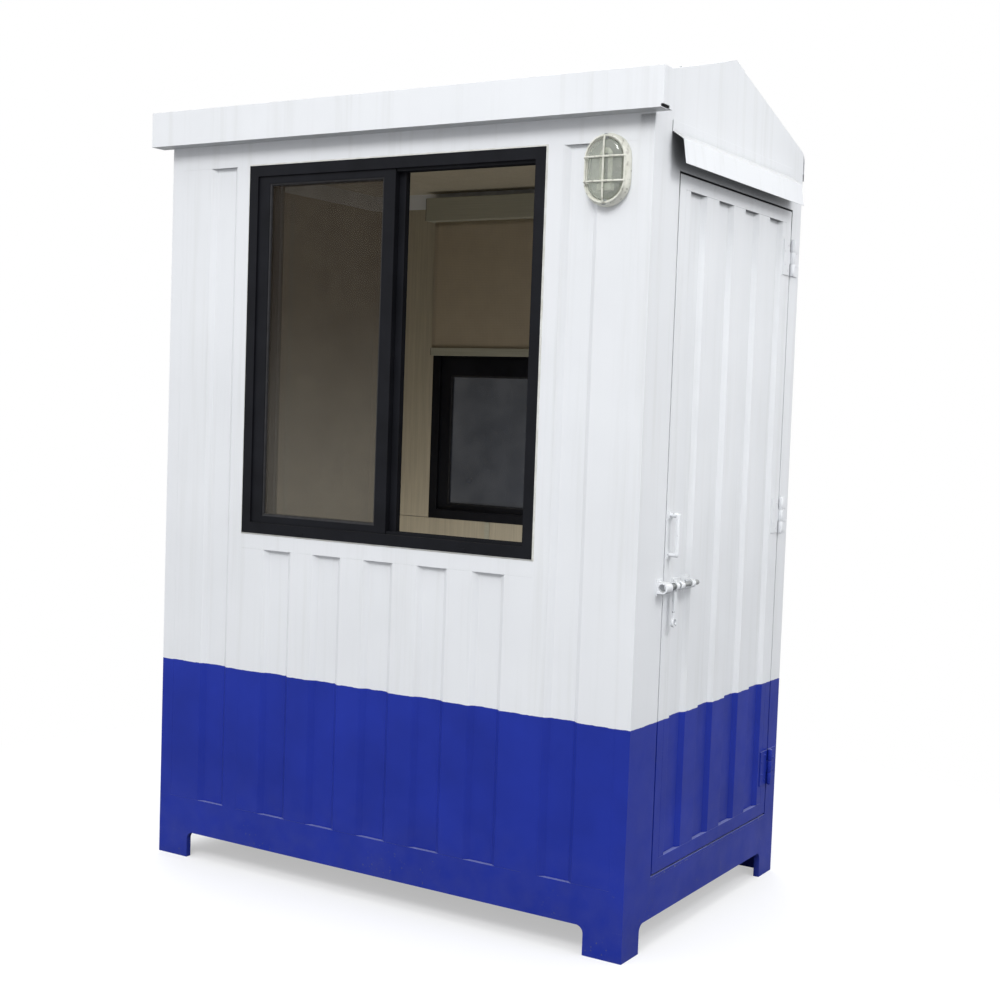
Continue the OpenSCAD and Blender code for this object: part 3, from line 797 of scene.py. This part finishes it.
def roller_blind(paint, trim):
    """The hanging cloth, and end caps for the blind's case and bar."""
    low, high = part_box("blind_cloth")
    width, drop = high.x - low.x, high.z - low.z
    columns, rows = 48, 24
    mesh = bmesh.new()
    grid = []
    for r in range(rows + 1):
        v = r / rows
        line = []
        for c in range(columns + 1):
            u = c / columns
            # The edges curl a little towards the room, and the cloth has faint upright waves
            curl = 0.0016 * (abs(2 * u - 1) ** 6) * math.sin(math.pi * v)
            ripple = 0.0009 * noise.noise(Vector((u * 5.0, v * 1.2, 0.3))) * math.sin(math.pi * v)
            y = (low.y + high.y) / 2 - curl + ripple
            line.append(mesh.verts.new((low.x + u * width, y, low.z + v * drop)))
        grid.append(line)
    for r in range(rows):
        for c in range(columns):
            mesh.faces.new((grid[r][c], grid[r][c + 1], grid[r + 1][c + 1], grid[r + 1][c]))
    cloth = piece("blind_hanging_cloth", mesh, blind_weave(paint), CABIN)
    thick = cloth.modifiers.new("cloth_thickness", "SOLIDIFY")
    thick.thickness = 0.0006
    thick.offset = 0.0
    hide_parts("blind_cloth")

    caps = bmesh.new()
    for node in ("blind_case", "blind_bar"):
        a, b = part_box(node)
        for x0, x1 in ((a.x - 0.003, a.x), (b.x, b.x + 0.003)):
            rounded_bar(caps, (x0, a.y + 0.001, a.z + 0.001), (x1, b.y - 0.001, b.z - 0.001), 0.001)
    piece("blind_end_caps", caps, gasket_rubber(), CABIN, False)


def lamp_points(width, height, depth, steps=12):
    """Points round an upright oval with straight sides, at that distance from the wall.

    The lamp's middle is at the origin of these points, and -Y is out from the wall.
    """
    r = width / 2
    half = height / 2 - r
    points = []
    for side, start in ((1, 0.0), (-1, math.pi)):
        for i in range(steps + 1):
            a = start + math.pi * i / steps
            points.append(Vector((r * math.cos(a), -depth, side * half + r * math.sin(a))))
    return points


def bulkhead_lamp(paint, trim):
    """Cast base, reflector, ribbed glass, folded tube and wire guard of the wall lamp."""
    low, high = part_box("lamp_base")
    glass_low, glass_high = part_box("lamp_glass")
    guard_low, guard_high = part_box("lamp_guard")
    middle = (low + high) / 2
    centre = Vector((middle.x, high.y, middle.z))
    w, h = high.x - low.x, high.z - low.z
    base_d = high.y - low.y
    shell, guard_coat = lamp_enamel(), lamp_enamel()

    def rings(steps):
        """Ovals round the lamp, from (distance inside its edge, distance from the wall) pairs."""
        return [
            [centre + p for p in lamp_points(w - 2 * inset, h - 2 * inset, d)] for inset, d in steps
        ]

    mesh = bmesh.new()
    loft(mesh, rings([
        (0.002, 0.0), (0.0, 0.002), (0.0, base_d * 0.55), (0.002, base_d * 0.75),
        (0.006, base_d * 0.95), (0.010, base_d), (0.014, base_d), (0.016, base_d * 0.9),
        (0.018, base_d * 0.35),
    ]), cap_end=False)
    base = piece("lamp_cast_base", mesh, shell, CABIN)
    mesh = bmesh.new()
    loft(mesh, rings([(0.0182, base_d * 0.36), (0.034, base_d * 0.12)]), cap_start=False)
    piece("lamp_reflector", mesh, dull_reflector(), CABIN)
    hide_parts("lamp_base")

    glass_d = high.y - glass_low.y
    inset = (w - (glass_high.x - glass_low.x)) / 2
    rise = glass_d - base_d
    mesh = bmesh.new()
    loft(mesh, rings([(inset, base_d * 0.85)] + [
        (inset + 0.030 * (1 - math.cos(a)), base_d + rise * math.sin(a))
        for a in (math.radians(d) for d in (0, 15, 30, 45, 60, 75, 88))
    ]), cap_start=False)
    glass = piece("lamp_ribbed_glass", mesh, pressed_glass(), CABIN)
    solid = glass.modifiers.new("glass_wall", "SOLIDIFY")
    solid.thickness = 0.003
    solid.offset = -1.0
    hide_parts("lamp_glass")

    # A folded fluorescent tube in its socket, over the dull reflector
    mesh = bmesh.new()
    half, reach, tube_radius = 0.013, 0.042, 0.0075
    tube_centre = centre + Vector((0, -base_d * 0.72, 0))
    bend = [
        Vector((half * math.cos(a), 0, reach + half * math.sin(a)))
        for a in (math.pi * i / 10 for i in range(11))
    ]
    path = [Vector((half, 0, -reach)), *bend, Vector((-half, 0, -reach))]
    tube(mesh, [tube_centre + p for p in path], tube_radius, count=16)
    piece("lamp_folded_tube", mesh, opal_glass(), CABIN)
    mesh = bmesh.new()
    socket = tube_centre + Vector((0, 0, -reach))
    socket_low, socket_high = Vector((-0.024, -0.010, -0.018)), Vector((0.024, 0.010, 0.002))
    rounded_bar(mesh, socket + socket_low, socket + socket_high, 0.002)
    piece("lamp_tube_socket", mesh, opal_glass(), CABIN, False)

    # The wire guard: a rim, one long hoop and two cross hoops, which end at the rim
    depth = high.y - guard_low.y
    gw, gh = (guard_high.x - guard_low.x) / 2, (guard_high.z - guard_low.z) / 2
    r = trim.wire
    mesh = bmesh.new()
    rim = [centre + p for p in lamp_points(2 * gw - 2 * r, 2 * gh - 2 * r, base_d + r)]
    tube(mesh, rim, r, closed=True)

    def hoop(reach, direction, shift):
        points = []
        steps = 28
        for i in range(steps + 1):
            a = math.pi * i / steps
            c, s = math.cos(a), math.sin(a)
            along = (reach - r) * math.copysign(abs(c) ** 0.5, c)
            out = (depth - base_d - 2 * r) * abs(s) ** 0.5
            points.append(centre + shift + direction * along + Vector((0, -base_d - r - out, 0)))
        tube(mesh, points, r)

    hoop(gh, Vector((0, 0, 1)), Vector())
    for side in (-1, 1):
        hoop(gw, Vector((1, 0, 0)), Vector((0, 0, side * h / 6)))
    guard = piece("lamp_wire_guard", mesh, guard_coat, CABIN)
    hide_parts("lamp_guard")

    mesh = bmesh.new()
    for side in (-1, 1):
        spot = centre + Vector((0, -base_d, side * (h / 2 - 0.012)))
        turned(mesh, spot + Vector((0, 0.001, 0)), (0, -1, 0),
               [(0, 0.009), (0.003, 0.009), (0.004, 0.0075)], 20)
        screw_head(mesh, spot + Vector((0, -0.003, 0)), (0, -1, 0), trim.screw, 0.4 * side)
    piece("lamp_guard_screws", mesh, zinc_plate(), CABIN)


def hardware_screws(paint, trim):
    """Screws of the hinges, handle, bolt plate and keep, and caps on the hinge pins."""
    wall = NODES["corner_posts"].data.materials[0]
    r = trim.screw
    # Thickness of the plates that the screws hold
    plate = 0.003
    out = (1, 0, 0)
    # The leaf's screws, as (distance from the pin, height from the leaf's middle)
    leaf_holes = ((0.024, -0.043), (0.024, 0.043), (0.050, -0.022), (0.050, 0.022))
    pin_cap = [(0, 0.0055), (0.0018, 0.005), (0.003, 0.003)]
    pin = Vector(next(j for j in frame["joints"] if j["name"] == "door_hinge")["pos_m"])
    on_door, on_cabin = bmesh.new(), bmesh.new()
    for a, b in panes("hinge_frame_leaves"):
        z = (a.z + b.z) / 2
        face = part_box("corner_posts")[1].x + plate
        for mesh, side in ((on_cabin, 1), (on_door, -1)):
            for y, dz in leaf_holes:
                screw_head(mesh, (face, pin.y + side * y, z + dz), out, r, 0.3 + 17 * dz)
        for end, way in ((a.z, -1), (b.z, 1)):
            turned(on_cabin, (pin.x, pin.y, end), (0, 0, way), pin_cap, 20)

    a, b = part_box("door_handle")
    door_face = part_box("door_frame")[1].x
    for z in (a.z + 0.012, b.z - 0.012):
        for y in (a.y + 0.005, b.y - 0.005):
            screw_head(on_door, (door_face + plate, y, z), out, r * 0.7, z * 9)
    a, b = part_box("bolt_guides")
    for z in (a.z + 0.0065, b.z - 0.0065):
        for share in (0.06, 0.5, 0.94):
            y = a.y + share * (b.y - a.y)
            screw_head(on_door, (door_face + plate, y, z), out, r * 0.85, share * 5)
    a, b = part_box("bolt_keep")
    for z in (a.z + 0.0045, b.z - 0.0045):
        for y in (a.y + 0.007, b.y - 0.007):
            screw_head(on_cabin, (door_face + plate, y, z), out, r * 0.75, y * 9)
    piece("door_screws", on_door, wall, DOOR)
    piece("cabin_side_screws", on_cabin, wall, CABIN)


def roof_fixings(paint, trim):
    """Screws with washers along the roof purlins."""
    low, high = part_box("roof_sheet")
    # Distance of the end screws from the sheet's ends, and a screw's size
    inset, radius = 0.06, 0.0045
    cap_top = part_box("ridge_cap")[1].z
    front_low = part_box("gable_panels")[0]
    ridge_y = next(v.co.y for v in NODES["ridge_cap"].data.vertices if v.co.z > cap_top - 0.0005)
    mesh = bmesh.new()
    front = (front_low.y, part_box("front_fascia")[1].z - 0.008)
    ridge = (ridge_y, cap_top - 0.002)
    fold_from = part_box("gable_panels")[1].y - 0.03
    rear_edge = max(
        (v.co for v in NODES["roof_sheet"].data.vertices if v.co.y > fold_from),
        key=lambda p: p.z,
    )
    rear = (rear_edge.y, rear_edge.z)
    count = trim.roof_screws
    for start, end, shares in ((front, ridge, (0.07, 0.5)), (ridge, rear, (0.5, 0.92))):
        slope = Vector((0, end[0] - start[0], end[1] - start[1])).normalized()
        out = Vector((0, -slope.z, slope.y))
        for share in shares:
            y = start[0] + share * (end[0] - start[0])
            z = start[1] + share * (end[1] - start[1])
            for i in range(count):
                x = low.x + inset + i * (high.x - low.x - 2 * inset) / (count - 1)
                hex_head(mesh, (x, y, z), out, radius)
    piece("roof_screws", mesh, zinc_plate(), CABIN)


def lining_trim(paint, trim):
    """Cover strips over the joints of the lining boards, and a skirting at the floor."""
    strip = satin_extrusion()
    mesh = bmesh.new()
    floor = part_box("floor_deck")[1].z
    left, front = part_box("left_lining")[1].x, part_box("front_lining")[1].y
    rear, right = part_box("rear_lining")[0].y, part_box("right_lining")[0].x
    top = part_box("left_lining")[1].z
    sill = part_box("front_window_frame")[0].z
    thick, wide = 0.0022, 0.022
    middle = (front + rear) / 2
    rounded_bar(mesh, (left, middle - wide / 2, floor), (left + thick, middle + wide / 2, top))
    for share in (1 / 3, 2 / 3):
        x = left + share * (right - left)
        for y0, y1 in ((front, front + thick), (rear - thick, rear)):
            rounded_bar(mesh, (x - wide / 2, y0, floor), (x + wide / 2, y1, sill - 0.001))
    piece("lining_cover_strips", mesh, strip, CABIN, False)

    mesh = bmesh.new()
    tall, deep = 0.06, 0.008
    rounded_bar(mesh, (left, front, floor), (right, front + deep, floor + tall), 0.002)
    rounded_bar(mesh, (left, rear - deep, floor), (right, rear, floor + tall), 0.002)
    rounded_bar(mesh, (left, front + deep, floor), (left + deep, rear - deep, floor + tall), 0.002)
    piece("floor_skirting", mesh, faced_board(paint), CABIN, False)


# Stage --------------------------------------------------------------------------------------

LENS_MM = 54.83
SENSOR_MM = 36.0
# The camera from the cabin's front right corner on the ground, in metres, and its turns
CAMERA_FROM_CORNER = Vector((1.9328, -3.8933, 1.6073))
YAW, PITCH, ROLL = (math.radians(a) for a in (31.655, 3.547, 2.0186))


def lamp_light(name, energy, size, at, target):
    data = bpy.data.lights.new(name, "AREA")
    data.energy = energy
    data.size = size
    obj = bpy.data.objects.new(name, data)
    obj.location = at
    obj.rotation_euler = (Vector(target) - Vector(at)).to_track_quat("-Z", "Y").to_euler()
    bpy.context.scene.collection.objects.link(obj)
    return obj


def sky_patch(name, strength, width, towards):
    """A broad soft patch of sky, that many degrees wide, which lights every height alike."""
    data = bpy.data.lights.new(name, "SUN")
    data.energy = strength
    data.angle = math.radians(width)
    obj = bpy.data.objects.new(name, data)
    obj.rotation_euler = Vector(towards).to_track_quat("Z", "Y").to_euler()
    bpy.context.scene.collection.objects.link(obj)


def white_where_seen(tree, shader, seen):
    """A mix of shader and seen, with seen shown to the camera, in mirrors and through glass."""
    rays = add(tree, "ShaderNodeLightPath").outputs
    direct = calc(tree, "ADD", rays["Is Camera Ray"], rays["Is Transmission Ray"], clamp=True)
    any_seen = calc(tree, "ADD", direct, rays["Is Glossy Ray"], clamp=True)
    return add(tree, "ShaderNodeMixShader", {0: any_seen, 1: shader, 2: seen}).outputs[0]


def set_stage(paint, trim):
    scene = bpy.context.scene
    scene.view_settings.view_transform = "Standard"

    world = bpy.data.worlds.new("soft_studio")
    scene.world = world
    world.use_nodes = True
    tree = world.node_tree
    light = tree.nodes["Background"].outputs[0]
    # An overcast dome, brighter overhead than at the horizon
    aim = add(tree, "ShaderNodeTexCoord").outputs["Generated"]
    overhead = threshold(tree, part(tree, aim, "Z"), 0.0, 0.8)
    dome = blend(tree, overhead, (0.37, 0.37, 0.375), (1.32, 1.34, 1.36))
    tree.links.new(dome, tree.nodes["Background"].inputs["Color"])
    white = add(tree, "ShaderNodeBackground", {"Color": (1, 1, 1, 1), "Strength": 1.0}).outputs[0]
    tree.links.new(white_where_seen(tree, light, white), tree.nodes["World Output"].inputs["Surface"])

    # Pale floor, which fades into the white surroundings away from the cabin
    mesh = bmesh.new()
    turned(mesh, (0, 0, -0.002), (0, 0, 1), [(0, 14.0), (0.002, 14.0)], 96)
    data = bpy.data.meshes.new("studio_floor")
    mesh.to_mesh(data)
    mesh.free()
    floor = bpy.data.objects.new("studio_floor", data)
    scene.collection.objects.link(floor)
    material, tree, shader, place = blank("studio_floor_paint")
    feed(tree, shader, {
        "Base Color": (0.90, 0.90, 0.90, 1.0),
        "Roughness": 0.9,
        "Specular IOR Level": 0.1,
    })
    glow = add(tree, "ShaderNodeEmission", {"Color": (1, 1, 1, 1), "Strength": 1.0}).outputs[0]
    # What the floor throws back onto the cabin is less than what it shows
    bounce = add(tree, "ShaderNodeBsdfDiffuse", {"Color": (0.29, 0.29, 0.295, 1.0)}).outputs[0]
    away = add(tree, "ShaderNodeVectorMath", {0: place}, operation="LENGTH").outputs["Value"]
    share = calc(tree, "MAXIMUM", threshold(tree, away, 1.3, 2.6), 0.45)
    rays = add(tree, "ShaderNodeLightPath").outputs["Is Camera Ray"]
    shown = add(tree, "ShaderNodeMixShader", {0: share, 1: shader.outputs[0], 2: glow}).outputs[0]
    mixed = add(tree, "ShaderNodeMixShader", {0: rays, 1: bounce, 2: shown}).outputs[0]
    tree.links.new(mixed, tree.nodes["Material Output"].inputs["Surface"])
    data.materials.append(material)

    lamp_light("key_light", 215, 2.2, (1.5, -5.7, 6.1), (0, -0.5, 1.4))
    side = lamp_light("side_light", 8.0, 1.4, (4.4, -0.2, 5.4), (0.9, 0, 1.9))
    side.data.spread = math.radians(50)
    sky_patch("back_sky", 0.6, 36, (-0.7, 0.8, 0.8))
    # Daylight that the cabin's floor throws up at its lining
    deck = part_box("floor_deck")[1].z
    inside = lamp_light("floor_bounce", 6.5, 0.7, (-0.42, 0, deck + 0.03), (-0.42, 0, 2))
    inside.data.shape = "RECTANGLE"
    inside.data.size_y = 0.7
    inside.visible_camera = inside.visible_glossy = inside.visible_transmission = False

    feet_low, feet_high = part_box("feet")
    data = bpy.data.cameras.new("studio_camera")
    data.lens = LENS_MM
    data.sensor_width = SENSOR_MM
    data.clip_end = 100
    camera = bpy.data.objects.new("studio_camera", data)
    scene.collection.objects.link(camera)
    level = Vector((math.cos(YAW), math.sin(YAW), 0))
    forward = Vector((-math.sin(YAW), math.cos(YAW), 0))
    ahead = forward * math.cos(PITCH) - Vector((0, 0, math.sin(PITCH)))
    upright = level.cross(ahead)
    right = level * math.cos(ROLL) + upright * math.sin(ROLL)
    up = upright * math.cos(ROLL) - level * math.sin(ROLL)
    turn = Matrix((right, up, -ahead)).transposed().to_4x4()
    corner = Vector((feet_high.x, feet_low.y, 0))
    camera.matrix_world = Matrix.Translation(corner + CAMERA_FROM_CORNER) @ turn
    scene.camera = camera


# Steps --------------------------------------------------------------------------------------


class CabinStep:
    """Runs a step's make function with the scene's settings"""

    def execute(self, context):
        self.make(context.scene.cabin_paint, context.scene.cabin_trim)
        return {"FINISHED"}


class CABIN_OT_paint(CabinStep, bpy.types.Operator):
    """Gives every construction piece its finish"""

    bl_idname = "cabin.paint"
    bl_label = "Paint the cabin"
    make = staticmethod(paint_cabin)


class CABIN_OT_edges(CabinStep, bpy.types.Operator):
    """Rounds the sharp edges of folded and cast pieces"""

    bl_idname = "cabin.edges"
    bl_label = "Round the edges"
    make = staticmethod(round_edges)


class CABIN_OT_glazing(CabinStep, bpy.types.Operator):
    """Makes the gaskets, sealant beads, track ribs and weep caps of the windows"""

    bl_idname = "cabin.glazing"
    bl_label = "Glazing trim"
    make = staticmethod(glazing)


class CABIN_OT_blind(CabinStep, bpy.types.Operator):
    """Makes the roller blind's hanging cloth and end caps"""

    bl_idname = "cabin.blind"
    bl_label = "Roller blind"
    make = staticmethod(roller_blind)


class CABIN_OT_lamp(CabinStep, bpy.types.Operator):
    """Makes the bulkhead lamp with its glass, tube and wire guard"""

    bl_idname = "cabin.lamp"
    bl_label = "Bulkhead lamp"
    make = staticmethod(bulkhead_lamp)


class CABIN_OT_screws(CabinStep, bpy.types.Operator):
    """Makes the screws of the hinges, handle, bolt and keep, and the pins' caps"""

    bl_idname = "cabin.screws"
    bl_label = "Hardware screws"
    make = staticmethod(hardware_screws)


class CABIN_OT_roof(CabinStep, bpy.types.Operator):
    """Makes the roof's screws and washers"""

    bl_idname = "cabin.roof"
    bl_label = "Roof fixings"
    make = staticmethod(roof_fixings)


class CABIN_OT_lining(CabinStep, bpy.types.Operator):
    """Makes the cover strips and skirting inside"""

    bl_idname = "cabin.lining"
    bl_label = "Lining trim"
    make = staticmethod(lining_trim)


class CABIN_OT_stage(CabinStep, bpy.types.Operator):
    """Sets the floor, the lights and the camera"""

    bl_idname = "cabin.stage"
    bl_label = "Stage"
    make = staticmethod(set_stage)


class CABIN_PT_sidebar(bpy.types.Panel):
    """The cabin's settings and steps"""

    bl_idname = "CABIN_PT_sidebar"
    bl_label = "Guard cabin"
    bl_space_type = "VIEW_3D"
    bl_region_type = "UI"
    bl_category = "Cabin"

    def draw(self, context):
        for settings in (context.scene.cabin_paint, context.scene.cabin_trim):
            box = self.layout.box()
            for key in settings.bl_rna.properties.keys():
                if key not in ("rna_type", "name"):
                    box.prop(settings, key)
        for step in STEPS:
            self.layout.operator(step.bl_idname)


STEPS = (
    CABIN_OT_paint, CABIN_OT_edges, CABIN_OT_glazing, CABIN_OT_blind, CABIN_OT_lamp,
    CABIN_OT_screws, CABIN_OT_roof, CABIN_OT_lining, CABIN_OT_stage,
)
CLASSES = (CabinPaint, CabinTrim, *STEPS, CABIN_PT_sidebar)


def register():
    for cls in CLASSES:
        bpy.utils.register_class(cls)
    bpy.types.Scene.cabin_paint = PointerProperty(type=CabinPaint)
    bpy.types.Scene.cabin_trim = PointerProperty(type=CabinTrim)


def unregister():
    del bpy.types.Scene.cabin_trim
    del bpy.types.Scene.cabin_paint
    for cls in reversed(CLASSES):
        bpy.utils.unregister_class(cls)


def main():
    register()
    for step in STEPS:
        group, name = step.bl_idname.split(".")
        getattr(getattr(bpy.ops, group), name)()


if __name__ == "__main__":
    main()
